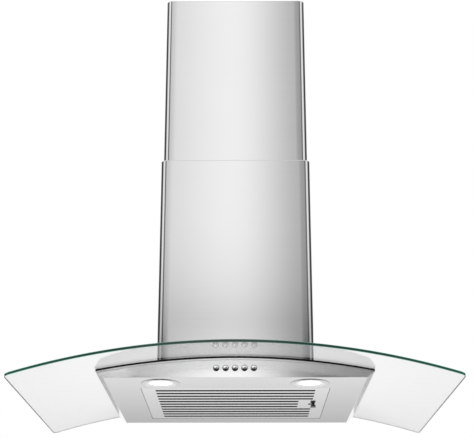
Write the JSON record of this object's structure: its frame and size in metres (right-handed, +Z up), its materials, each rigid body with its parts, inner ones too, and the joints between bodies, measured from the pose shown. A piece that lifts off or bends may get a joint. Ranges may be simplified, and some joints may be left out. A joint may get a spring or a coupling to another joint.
{
  "type": "island range hood",
  "caption": "Ceiling-hung range hood: telescopic steel chimney over a bent clear-glass canopy and a shallow steel body with lamps, push buttons and a grease filter.",
  "frame": {"origin": "centre of the ceiling bracket's top face, on the chimney's axis", "axes": "+Z up, -Y towards the control panel, +X to the right seen from the control panel"},
  "size_m": [0.9, 0.64, 0.975],
  "materials": {
    "brushed_steel": "vertical brushed, satin",
    "galvanised_steel": "bare zinc-coated sheet",
    "glass": "clear, polished edge with a green tint",
    "rubber": "matt black",
    "fastener_steel": "bright zinc",
    "black_plastic": "moulded, fine texture",
    "white_plastic": "moulded, fine texture",
    "motor_paint": "grey enamel",
    "copper_winding": "enamelled wire",
    "impeller_steel": "zinc-coated sheet",
    "aluminium": "drawn, satin",
    "filter_mesh": "layered expanded mesh",
    "chrome": "polished",
    "lamp_lens": "frosted",
    "lamp_board": "white board with yellow emitters",
    "cable": "black sheath"
  },
  "bodies": {
    "ceiling_frame": {"ceiling_bracket": "galvanised_steel", "upper_rails": "galvanised_steel", "upper_cover_front": "brushed_steel", "upper_cover_rear": "brushed_steel", "upper_cover_screws": "fastener_steel", "rail_fasteners": "fastener_steel"},
    "hood": {"lower_rails": "galvanised_steel", "lower_cover_front": "brushed_steel", "lower_cover_rear": "brushed_steel", "lower_cover_screws": "fastener_steel", "base_flange": "galvanised_steel", "flange_screws": "fastener_steel", "blower_box": "galvanised_steel", "top_gasket": "rubber", "glass_canopy": "glass", "glass_gasket": "rubber", "glass_bolts": "fastener_steel", "body_top_plate": "brushed_steel", "body_tray": "brushed_steel", "control_panel": "brushed_steel", "switch_module": "black_plastic", "filter_ledges": "galvanised_steel", "volute_left": "black_plastic", "volute_right": "black_plastic", "motor_housing": "motor_paint", "motor_stator": "copper_winding", "motor_bracket": "galvanised_steel", "capacitor": "aluminium", "outlet_adaptor": "black_plastic", "duct_collar": "black_plastic", "damper_pins": "fastener_steel", "terminal_box": "white_plastic", "terminal_cover": "white_plastic", "cable_gland": "black_plastic", "lamp_ring_left": "chrome", "lamp_ring_right": "chrome", "lamp_lens_left": "lamp_lens", "lamp_lens_right": "lamp_lens", "lamp_housing_left": "aluminium", "lamp_housing_right": "aluminium", "lamp_board_left": "lamp_board", "lamp_board_right": "lamp_board", "lamp_driver": "white_plastic", "control_cable": "cable"},
    "filter": {"filter_face": "brushed_steel", "filter_mesh": "filter_mesh", "filter_back": "galvanised_steel"},
    "filter_latch": {"filter_latch": "black_plastic"},
    "fan_wheel": {"impeller": "impeller_steel", "motor_shaft": "fastener_steel"},
    "damper_left": {"damper_flap_left": "black_plastic"},
    "damper_right": {"damper_flap_right": "black_plastic"},
    "button_power": {"button_power": "chrome"},
    "button_low": {"button_low": "chrome"},
    "button_medium": {"button_medium": "chrome"},
    "button_high": {"button_high": "chrome"},
    "button_light": {"button_light": "chrome"}
  },
  "joints": [
    {"name": "height_adjust", "type": "slide", "parent": "ceiling_frame", "child": "hood", "axis": [0, 0, 1], "range_m": [-0.08, 0.28]},
    {"name": "filter_hinge", "type": "hinge", "parent": "hood", "child": "filter", "pos_m": [-0.2018, 0.0255, -0.9515], "axis": [0, 1, 0], "range_deg": [0, 80]},
    {"name": "latch_slide", "type": "slide", "parent": "filter", "child": "filter_latch", "axis": [-1, 0, 0], "range_m": [0, 0.007], "stiffness_N_per_m": 300},
    {"name": "fan_spin", "type": "hinge", "parent": "hood", "child": "fan_wheel", "pos_m": [0, -0.01, -0.775], "axis": [1, 0, 0], "continuous": true},
    {"name": "damper_left_hinge", "type": "hinge", "parent": "hood", "child": "damper_left", "pos_m": [-0.004, 0, -0.582], "axis": [0, 1, 0], "range_deg": [0, 80]},
    {"name": "damper_right_hinge", "type": "hinge", "parent": "hood", "child": "damper_right", "pos_m": [0.004, 0, -0.582], "axis": [0, -1, 0], "range_deg": [0, 80]},
    {"name": "button_power_press", "type": "slide", "parent": "hood", "child": "button_power", "axis": [0, 1, 0], "range_m": [0, 0.002], "stiffness_N_per_m": 500},
    {"name": "button_low_press", "type": "slide", "parent": "hood", "child": "button_low", "axis": [0, 1, 0], "range_m": [0, 0.002], "stiffness_N_per_m": 500},
    {"name": "button_medium_press", "type": "slide", "parent": "hood", "child": "button_medium", "axis": [0, 1, 0], "range_m": [0, 0.002], "stiffness_N_per_m": 500},
    {"name": "button_high_press", "type": "slide", "parent": "hood", "child": "button_high", "axis": [0, 1, 0], "range_m": [0, 0.002], "stiffness_N_per_m": 500},
    {"name": "button_light_press", "type": "slide", "parent": "hood", "child": "button_light", "axis": [0, 1, 0], "range_m": [0, 0.002], "stiffness_N_per_m": 500}
  ]
}
